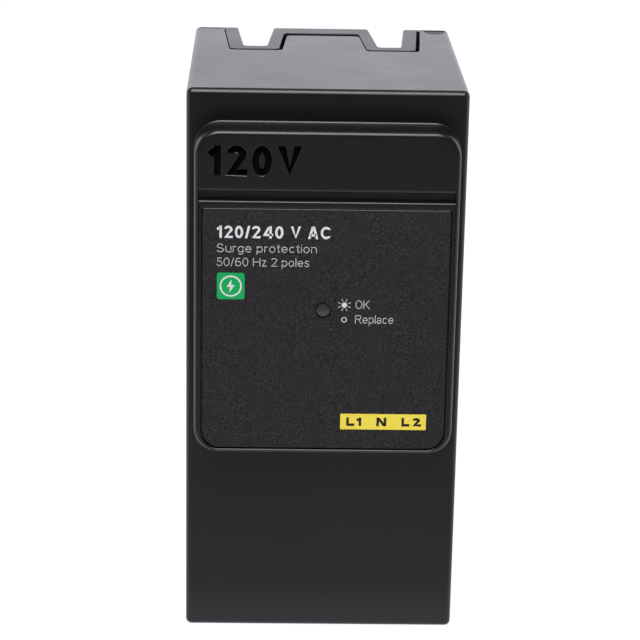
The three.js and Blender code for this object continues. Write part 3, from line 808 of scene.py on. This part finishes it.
def housing():
    outer = slab(
        "front_housing_shell",
        rectangle(-HALF_WIDTH, HALF_WIDTH, 0, HEIGHT, EDGE),
        rounded_end(SHELL_FRONT, EDGE, -1, 6)[::-1] + rounded_end(BACK, 0.2, 1, 2),
        "xz",
        6,
    )
    inner_half = HALF_WIDTH - WALL
    inside = slab(
        "inside",
        rectangle(-inner_half, inner_half, WALL, HEIGHT - WALL, 0.5),
        [(0, SHELL_FRONT + WALL), (0, BACK - 0.2), (-0.2, BACK), (-0.2, BACK + 1)],
        "xz",
        3,
    )
    panel_inside = box(
        "panel_inside",
        (-PANEL_HALF + WALL, PANEL_HALF - WALL),
        (PANEL_FRONT + WALL, SHELL_FRONT + WALL + 1),
        (PANEL_BOTTOM + WALL, PANEL_TOP - WALL),
    )
    combine(outer, [panel_with_cuts()], "UNION")
    combine(outer, [inside, panel_inside], "DIFFERENCE")
    combine(outer, posts(), "UNION")
    lamp_hole = turned_cutter(LAMP_X, LAMP_Z, LENS_RADIUS + GAP, PANEL_FRONT - 1, SHELL_FRONT + WALL)
    notch_levels = [(0, HEIGHT - WALL - 1)] + flared_end(HEIGHT, 0.18, 1)
    notch = slab("notch", end_corners(0, BACK + 1), notch_levels, "xy", 6)
    rail = slab(
        "rail",
        rectangle(CHANNEL_FLOOR - GAP, BACK + 3, CHANNEL_BOTTOM - GAP, CHANNEL_TOP + GAP),
        flared_end(-HALF_WIDTH, 0.2, -1)[::-1] + flared_end(HALF_WIDTH, 0.2, 1),
        "yz",
        1,
    )
    combine(outer, [lamp_hole, notch, rail, gate_mark(), *witness_line()], "DIFFERENCE")
    finish_piece(outer, "housing", LOOKS["housing"], ["front_housing"])


def panel_with_cuts():
    """The raised panel with its groove, the label's seat and the engraved rating."""
    seat = slab(
        "seat",
        rectangle(-SEAT_HALF, SEAT_HALF, SEAT_BOTTOM, SEAT_TOP, SEAT_CORNER, 0.25),
        [(0, PANEL_FRONT + SEAT_DEEP)] + flared_end(PANEL_FRONT, 0.28, -1, steps=4),
        "xz",
        10,
    )
    cut = combine(panel_solid(), [groove_cutter(), seat], "DIFFERENCE")
    return combine(cut, rating(engraved), "DIFFERENCE", overlapping=True)


def turned_cutter(x, z, radius, front, back):
    return turned("hole", [(0, front), (radius, front), (radius, back), (0, back)], x, z, 40)


def gate_mark():
    """The half-oval mark in the top end: a scoop that runs out at the witness line."""
    x, back = HALF_WIDTH - 2.9, BACK - WITNESS
    across, along, fall = 2.1, 3.4, 0.15
    outline = [(x + across * a, back + along * b) for a, b in arc(0, 0, 1, 180, 360, 20)]
    scoop = [(a, b, HEIGHT - 0.05 - fall * (back - b)) for a, b in outline]
    return solid("gate", [scoop, [(a, b, HEIGHT + 1) for a, b in outline]])


def witness_line():
    """A fine step across the top end and down the sides, just in front of the back edge."""
    ys = (BACK - WITNESS, BACK - WITNESS + WITNESS_WIDTH)
    lines = [box("line", (-HALF_WIDTH - 1, HALF_WIDTH + 1), ys, (HEIGHT - WITNESS_DEEP, HEIGHT + 1))]
    for side in (-1, 1):
        xs = sorted((side * (HALF_WIDTH - WITNESS_DEEP), side * (HALF_WIDTH + 1)))
        lines.append(box("line", xs, ys, (CHANNEL_TOP + 2, HEIGHT + 1)))
    return lines


def posts():
    """The screws' posts along Y, each with a blind hole in its back."""
    radius, chamfer, bore, bore_deep = 3, 0.3, 1.45, 13
    front, back = SHELL_FRONT + WALL - 0.2, PLATE_FRONT - GAP
    profile = [
        (0, front), (radius, front), (radius, back - chamfer), (radius - chamfer, back),
        (bore, back), (bore, back - bore_deep), (0, back - bore_deep),
    ]
    return [turned("case_post", profile, x, z, 32) for x, z in SCREWS.values()]


# ---------------------------------------------------------------- rear base
def stab_slot_cutters(side):
    """A funnel through the end, the wider pocket for the jaw, and the slit for its tail."""
    x = side * SLOT_X
    middle = x + FUNNEL_SHIFT[side]
    widening = [
        (FUNNEL_FLOOR_HALF, FUNNEL_FLOOR, FUNNEL_CORNER), (FUNNEL_MOUTH_HALF, BACK - 0.3, 0),
        (FUNNEL_MOUTH_HALF + 0.35, BACK + 0.05, 0), (FUNNEL_MOUTH_HALF + 0.35, BACK + 1, 0),
    ]
    funnel = [(middle + half, y, radius) for half, y, radius in widening]
    funnel += [(middle - half, y, radius) for half, y, radius in reversed(widening)]
    pocket_ys = (SLOT_FLOOR + 0.01, BACK - 3.6)
    slit_ys = (SLOT_FLOOR + 0.02, SLOT_FLOOR + 2.6)
    return [
        slab("funnel", funnel, [(0, POCKET_BOTTOM)] + flared_end(HEIGHT, 0.3, 1), "xy", 5),
        box("pocket", (x - POCKET_HALF, x + POCKET_HALF), pocket_ys, (POCKET_BOTTOM + 0.01, POCKET_TOP)),
        box("slit", (x - 2.4, x + 2.4), slit_ys, (COLLAR_BOTTOM - 1, POCKET_BOTTOM + 1)),
    ]


def base():
    plate_half = HALF_WIDTH - WALL - GAP
    plate = slab(
        "rear_base_moulding",
        rectangle(-plate_half, plate_half, WALL + GAP, HEIGHT - WALL - GAP, 0.6),
        [(0, PLATE_FRONT)] + rounded_end(BACK, 0.25, 1, 3),
        "xz",
        4,
    )
    end_levels = [(0, HEIGHT - WALL - 2)] + rounded_end(HEIGHT, 0.18, 1, 3)
    end = slab("end", end_corners(GAP, BACK), end_levels, "xy", 6)
    collar_levels = [(0, COLLAR_BOTTOM), (0, HEIGHT - 1)]
    collars = [slab("collar", collar_corners(side, GAP), collar_levels, "xy", 6) for side in (-1, 1)]
    trough_half, lining = plate_half - 0.02, 1.5
    trough_zs = (CHANNEL_BOTTOM - lining, CHANNEL_TOP + lining)
    trough = box("trough", (-trough_half, trough_half), (CHANNEL_FLOOR - lining, BACK - 1), trough_zs)
    combine(plate, [end, *collars, trough, *pivot_ears(), *crush_ribs()], "UNION", overlapping=True)
    rail = rectangle(CHANNEL_FLOOR, BACK + 3, CHANNEL_BOTTOM, CHANNEL_TOP, 0.5)
    middle, window_half = (CHANNEL_BOTTOM + CHANNEL_TOP) / 2, 3.4
    window_ys = (CHANNEL_FLOOR - 2, CHANNEL_FLOOR + 0.5)
    cuts = stab_slot_cutters(-1) + stab_slot_cutters(1)
    cuts.append(slab("channel", rail, [(0, -HALF_WIDTH), (0, HALF_WIDTH)], "yz", 4))
    cuts.append(box("window", (-4, 4), window_ys, (middle - window_half, middle + window_half)))
    cuts += [screw_hole(x, z) for x, z in SCREWS.values()]
    cuts += back_relief()
    combine(plate, cuts, "DIFFERENCE", overlapping=True)
    finish_piece(plate, "housing", LOOKS["base"], ["rear_base"])


def pivot_ears():
    """The ears that hold the arms' pivot pins."""
    ribs = []
    for side in (-1, 1):
        xs = sorted((side * EAR_X, side * (EAR_X + 1.5)))
        ribs.append(box("ear", xs, (PIVOT_Y - 3, PLATE_FRONT + 1), (PIVOT_Z - 3.5, PIVOT_Z + 3)))
    return ribs


def crush_ribs():
    """Low ribs up the outer sides of the collars, which centre the base in the housing's notch."""
    ribs = []
    for side in (-1, 1):
        outer = [(side * (SLOT_X + collar_half(y, 0.03)), y, 0) for y in (BACK - 1.6, BACK - 0.01)]
        inner = [(x - side, y, 0) for x, y, _ in reversed(outer)]
        ribs.append(slab("crush_rib", outer + inner, [(0, HEIGHT - 8), (0, HEIGHT - 0.03)], "xy", 1))
    return ribs


def screw_hole(x, z):
    wide, narrow = 3.2, 1.7
    floor = BACK - 2.8
    profile = [
        (0, PLATE_FRONT - 1), (narrow, PLATE_FRONT - 1), (narrow, floor), (wide, floor),
        (wide, BACK - 0.25), (wide + 0.25, BACK), (wide + 0.25, BACK + 1), (0, BACK + 1),
    ]
    return turned("screw_hole", profile, x, z, 40)


def back_relief():
    """A shallow field and four ejector marks on the back."""
    levels = [(0, BACK - 0.4)] + flared_end(BACK, 0.15, 1, steps=2)
    field = slab("field", rectangle(-16, 16, 30, 70, 2.5), levels, "xz", 6)
    places = [(-19.4, 75), (19.4, 75), (-19.4, 26), (19.4, 26)]
    marks = [turned_cutter(x, z, 2.2, BACK - 0.2, BACK + 1) for x, z in places]
    return [field, *marks]


# ---------------------------------------------------------------- face
def label():
    film = slab(
        "face_label_film",
        rectangle(LABEL_LOW.x, LABEL_HIGH.x, SEAT_BOTTOM + 0.2, SEAT_TOP - 0.04, SEAT_CORNER - 0.2, 0.3),
        [(0, LABEL_HIGH.y)] + rounded_end(LABEL_FACE, 0.2, -1, 4),
        "xz",
        10,
    )
    hole = turned_cutter(LAMP_X, LAMP_Z, LENS_RADIUS + 0.05, LABEL_FACE - 1, LABEL_HIGH.y + 1)
    combine(film, [hole], "DIFFERENCE")
    label_edge()
    finish_piece(film, "housing", LOOKS["film"], ["face_label"])


def label_edge():
    """The clear overlay's cut edge, which stands a little proud along the top of the film."""
    proud, tall, inset = 0.1, 0.3, 0.25
    strip = rectangle(LABEL_LOW.x + inset, LABEL_HIGH.x - inset, SEAT_TOP - tall, SEAT_TOP - 0.02)
    levels = [(0, LABEL_FACE + proud)] + rounded_end(LABEL_FACE - proud, 0.13, -1, 4)
    piece = slab("face_label_edge", strip, levels, "xz", 1)
    finish_piece(piece, "housing", LOOKS["overlay"], smooth_angle=60)


def lens():
    """A slightly domed lens with a collar behind the panel, and its light pipe."""
    front, back = LENS_LOW.y, LENS_HIGH.y
    dome_tall, collar_radius, chamfer = 0.38, 2.6, 0.1
    collar = PANEL_FRONT + WALL + GAP
    dome = [(LENS_RADIUS * s, front + dome_tall * (1 - c)) for c, s in arc(0, 0, 1, 0, 90, 8)]
    profile = dome + [
        (LENS_RADIUS, collar), (collar_radius - chamfer, collar), (collar_radius, collar + chamfer),
        (collar_radius, collar + 1 - chamfer), (collar_radius - chamfer, collar + 1),
        (LENS_RADIUS, collar + 1), (LENS_RADIUS, back), (0, back),
    ]
    piece = turned("light_pipe_lens", profile, LAMP_X, LAMP_Z, 48)
    finish_piece(piece, "housing", LOOKS["lens"], ["light_pipe"])


def rating_shade_fill():
    """A flat near-black matt sheet in the floor of the engraved rating: painted shade, standing in for the
    shade deep in the engraving.
    """
    # a near-black sheet laid in the engraving's floor, as painted shade
    def shade_sheet(half):
        floor, thick, margin = PANEL_FRONT + RATING_DEEP, 0.1, 0.03
        front, back, reach = floor - thick, floor - 0.01, half - margin
        return [(reach, front), (reach, back), (-reach, back), (-reach, front)]

    printed(merged("rating_shade_fill", rating(shade_sheet)), "shade_sheet")


INK_FRONT = LABEL_FACE - 0.03
INK_BACK = LABEL_FACE - 0.004
OVER_INK = 0.03  # lifts a print that lies over another one


def printed(piece, look):
    """Finishes a piece of ink, or the sheet of painted shade in the engraving."""
    finish_piece(piece, "housing", LOOKS[look], weighted=False)


def print_words(name, words, left, right, foot, cap, look="white", weight=0.088, lift=0.0):
    """Printed words between two ends. weight is the strokes' width in cap heights."""
    def inked(half):
        front, back = INK_FRONT - lift, INK_BACK - lift
        return [(half, front), (half, back), (-half, back), (-half, front)]

    printed(merged(name, lettering(words, left, right, foot, cap, weight, inked)), look)


def print_patch(name, corners, look, lift=0.0, steps=6):
    """A printed area inside an outline."""
    printed(slab(name, corners, [(0, INK_BACK - lift), (0, INK_FRONT - lift)], "xz", steps), look)


def print_ring(name, x, z, outer, inner, look="white", lift=0.0):
    """A printed ring, or a dot when its hole is tiny."""
    front, back = INK_FRONT - lift, INK_BACK - lift
    ring = turned(name, [(0, front), (outer, front), (outer, back), (0, back)], x, z, 36)
    hole = turned_cutter(x, z, inner, front - 1, back + 1)
    printed(combine(ring, [hole], "DIFFERENCE"), look)


def print_stroke(name, start, end, width, look):
    """A short printed line with square ends."""
    a, b = Vector(start), Vector(end)
    along = (b - a).normalized() * width / 2
    side = Vector((-along.y, along.x))
    ends = (a - along - side, b + along - side, b + along + side, a - along + side)
    print_patch(name, [(p.x, p.y, 0) for p in ends], look, steps=1)


def prints():
    """Everything on the label. Words go by their left and right ends, foot and cap height."""
    left, beside_signs = LABEL_LOW.x + 2.55, 5.45
    large, small = 2.3, 1.6
    print_words("print_heading", "120/240 V AC", left, 0.8, 79.15, large, weight=0.185)
    print_words("print_line_two", "Surge protection", left, -1.7, 76.5, small, "grey")
    print_words("print_line_three", "50/60 Hz 2 poles", left, -3.0, 73.9, small, "grey")
    sun_and_ring()
    print_words("print_ok", "OK", beside_signs, 8.0, 66.1, small, "grey")
    print_words("print_replace", "Replace", beside_signs, 12.4, 63.3, small, "grey")
    green_badge(left + 0.12)
    yellow_badge()


def sun_and_ring():
    """The lamp's two states: lit, drawn as a dot with rays, and dark, drawn as a ring."""
    x, lit_z, dark_z = 3.45, 66.8, 64.0
    ray_start, ray_end, rays = 0.7, 1.2, 8
    print_ring("print_lit_dot", x, lit_z, 0.47, 0.02)
    for i in range(rays):
        turn = math.radians(22.5 + 360 / rays * i)
        start, end = [(x + r * math.cos(turn), lit_z + r * math.sin(turn)) for r in (ray_start, ray_end)]
        print_stroke(f"print_lit_ray_{i + 1}", start, end, 0.12, "grey")
    print_ring("print_dark_ring", x, dark_z, 0.53, 0.32, "grey")


def green_badge(left):
    """A plain green square with a lightning bolt inside a ring."""
    low, side, corner = 67.65, 5.0, 0.5
    print_patch("print_green_badge", rectangle(left, left + side, low, low + side, corner), "green")
    x, z = left + side / 2, low + side / 2
    print_ring("print_badge_ring", x, z, 2.0, 1.72, lift=OVER_INK)
    bolt = [(0.15, 1.25), (-0.75, -0.15), (-0.1, -0.15), (-0.25, -1.25), (0.75, 0.2), (0.1, 0.2)]
    corners = [(x + a, z + b, 0) for a, b in bolt]
    print_patch("print_badge_bolt", corners, "white", lift=OVER_INK, steps=1)


def yellow_badge():
    """A plain yellow plate with the terminals' names."""
    left, right, low, high = 3.15, 18.95, 42.8, 45.85
    print_patch("print_yellow_badge", rectangle(left, right, low, high, 0.1), "yellow")
    ends = left + 0.9, right - 0.9
    print_words("print_terminals", "L1  N  L2", *ends, low + 0.7, 1.65, "black", weight=0.28, lift=OVER_INK)


# ---------------------------------------------------------------- screws
def screw(name, x, z):
    """A pan-head screw with a tapered cross recess."""
    head_radius, head_tall, crown_tall = 2.8, 2, 0.9
    core_radius, thread_radius, turns, thread_long = 1.05, 1.3, 14, 9.0
    head_back = BACK - 0.5
    head_front = head_back - head_tall
    tip = head_front - 12
    crown = [(head_radius * c, head_back - crown_tall * (1 - s)) for c, s in arc(0, 0, 1, 0, 90, 8)[:-1]]
    thread = []
    for i in range(turns):
        y = tip + 2 + i * (thread_long / turns)
        thread += [(core_radius, y), (thread_radius, y + 0.22)]
        thread += [(thread_radius, y + 0.32), (core_radius, y + 0.52)]
    profile = [(0, tip), (0.5, tip + 0.5)] + thread
    profile += [(1.2, head_front), (head_radius - 0.15, head_front), (head_radius, head_front + 0.15)]
    profile += crown + [(0, head_back)]
    piece = turned(name + "_body", profile, x, z, 40)
    recess = [(0.18, head_back - 1.2), (0, head_back + 0.2)]
    arms = []
    for wide, tall in ((1.7, 0.38), (0.38, 1.7)):
        bar = rectangle(x - wide, x + wide, z - tall, z + tall, 0.12)
        arms.append(slab("drive", bar, recess, "xz", 3))
    combine(piece, arms, "DIFFERENCE")
    finish_piece(piece, "housing", LOOKS["zinc"], [name], smooth_angle=40)


# ---------------------------------------------------------------- carried-over frame nodes
def dress_nodes():
    """Gives each remaining CAD node its material and slightly broken edges."""
    looks = {
        "status_led": "led", "circuit_board": "board", "film_capacitor": "capacitor",
        "bridge_rectifier": "rectifier", "insulating_barrier": "paper", "neutral_busbar": "copper",
        "neutral_clip": "tin", "neutral_clip_spring": "spring", "line_jaw": "tin", "jaw_spring": "spring",
        "line_strap": "copper", "varistor": "varistor", "line_electrode": "tin", "solder_pad": "solder",
        "disconnect_arm": "arm", "pivot_pin": "zinc", "torsion_spring": "spring", "shunt_braid": "copper",
        "switch_body": "switch", "switch_plunger": "plunger", "drop_resistor": "resistor",
    }
    for name, node in frame["nodes"].items():
        stem = name.removesuffix("_left").removesuffix("_right")
        if node.hide_render or stem not in looks:
            continue
        node.data.materials.clear()
        node.data.materials.append(LOOKS[looks[stem]])
        node.data.shade_smooth()
        broken = node.modifiers.new("broken_edges", "BEVEL")
        broken.width = 0.08 * MM
        broken.segments = 2
        broken.limit_method = "ANGLE"
        broken.angle_limit = math.radians(40)
        even = node.modifiers.new("even_normals", "WEIGHTED_NORMAL")
        even.keep_sharp = True


# ---------------------------------------------------------------- studio
# brightness of the world's parts; heights and sides go by the direction's unit vector
SWEEP = 1.58
SWEEP_LOW = 0.36  # where the sweep behind the object starts to fade
SWEEP_HIGH = 0.68
TABLE = 0.85
SIDES = 1.45
ROOM = 0.27
AMBIENT = 0.05
COOL = (0.985, 0.965, 1.05)  # the tint of everything but what the camera sees directly


def floor():
    """A pale sheet that glows a little, so that it stays even under soft light."""
    front, far, side = -0.045, 3.0, 3.0
    mesh = bpy.data.meshes.new("studio_floor")
    height = -0.00005
    corners = [(x, y, height) for x, y in ((-side, front), (side, front), (side, far), (-side, far))]
    mesh.from_pydata(corners, [], [(0, 1, 2, 3)])
    sheet = in_scene("studio_floor", mesh)
    material, n = new_look("studio_sheet")
    n.set(Base_Color=(0.12, 0.12, 0.12), Roughness=0.7, Specular_IOR_Level=0.0, Emission_Color=COOL)
    seen = n.node("ShaderNodeLightPath").outputs["Is Camera Ray"]
    n.set(Emission_Strength=n.span(seen, 1.0, 0.96))
    mesh.materials.append(material)


def world():
    """A dim studio with a bright sweep low behind the object and a pale table edge low in front.

    The camera itself sees plain white.
    """
    studio = bpy.context.scene.world = bpy.data.worlds.new("studio")
    n = Nodes(studio, "Background", "Generated")
    split = n.node("ShaderNodeSeparateXYZ")
    n.link(n.coords, split.inputs["Vector"])
    x, y, z = split.outputs
    sweep = n.maths("MULTIPLY", n.fade(y, 0.0, 0.55, 0.0, 1.0), n.fade(z, SWEEP_LOW, SWEEP_HIGH, SWEEP, 0.25))
    table = n.fade(z, -0.45, -0.31, TABLE, 0.0)
    room = n.fade(z, -0.28, -0.12, ROOM, AMBIENT)
    sides = n.maths("ADD", n.fade(x, 0.84, 0.95, 0.0, SIDES), n.fade(x, -0.95, -0.84, SIDES, 0.0))
    total = n.maths("ADD", n.maths("ADD", sweep, sides), n.maths("ADD", table, room))
    seen = n.node("ShaderNodeLightPath").outputs["Is Camera Ray"]
    choose = n.node("ShaderNodeMix", data_type="FLOAT")
    n.link(seen, choose.inputs["Factor"])
    n.link(total, choose.inputs["A"])
    choose.inputs["B"].default_value = 1.0
    n.set(Strength=choose.outputs["Result"], Color=n.blend(seen, COOL, (1, 1, 1)))


def soft_light(name, place, aim, size, watts):
    light = bpy.data.lights.new(name, "AREA")
    light.shape = "RECTANGLE"
    light.size, light.size_y = size
    light.energy = watts
    lamp = in_scene(name, light)
    lamp.location = place
    lamp.rotation_euler = (Vector(aim) - Vector(place)).to_track_quat("-Z", "Y").to_euler()


def camera():
    """A long lens a little above the object and slightly to its left."""
    data = bpy.data.cameras.new("camera")
    data.sensor_width = 36
    data.lens = 132.32
    data.clip_start = 0.05
    made = in_scene("camera", data)
    made.location = (-0.01111, -0.43695, 0.19600)
    made.rotation_euler = Euler([math.radians(a) for a in (71.951, -1.044, -1.101)], "XYZ")
    bpy.context.scene.camera = made


camera()
world()
floor()
soft_light("front_softbox", (-0.05, -0.38, 0.72), (0, 0, 0.06), (0.5, 0.5), 9)
bpy.context.scene.view_settings.view_transform = "Standard"
housing()
base()
label()
lens()
rating_shade_fill()
prints()
for screw_name, (screw_x, screw_z) in SCREWS.items():
    screw(screw_name, screw_x, screw_z)
dress_nodes()
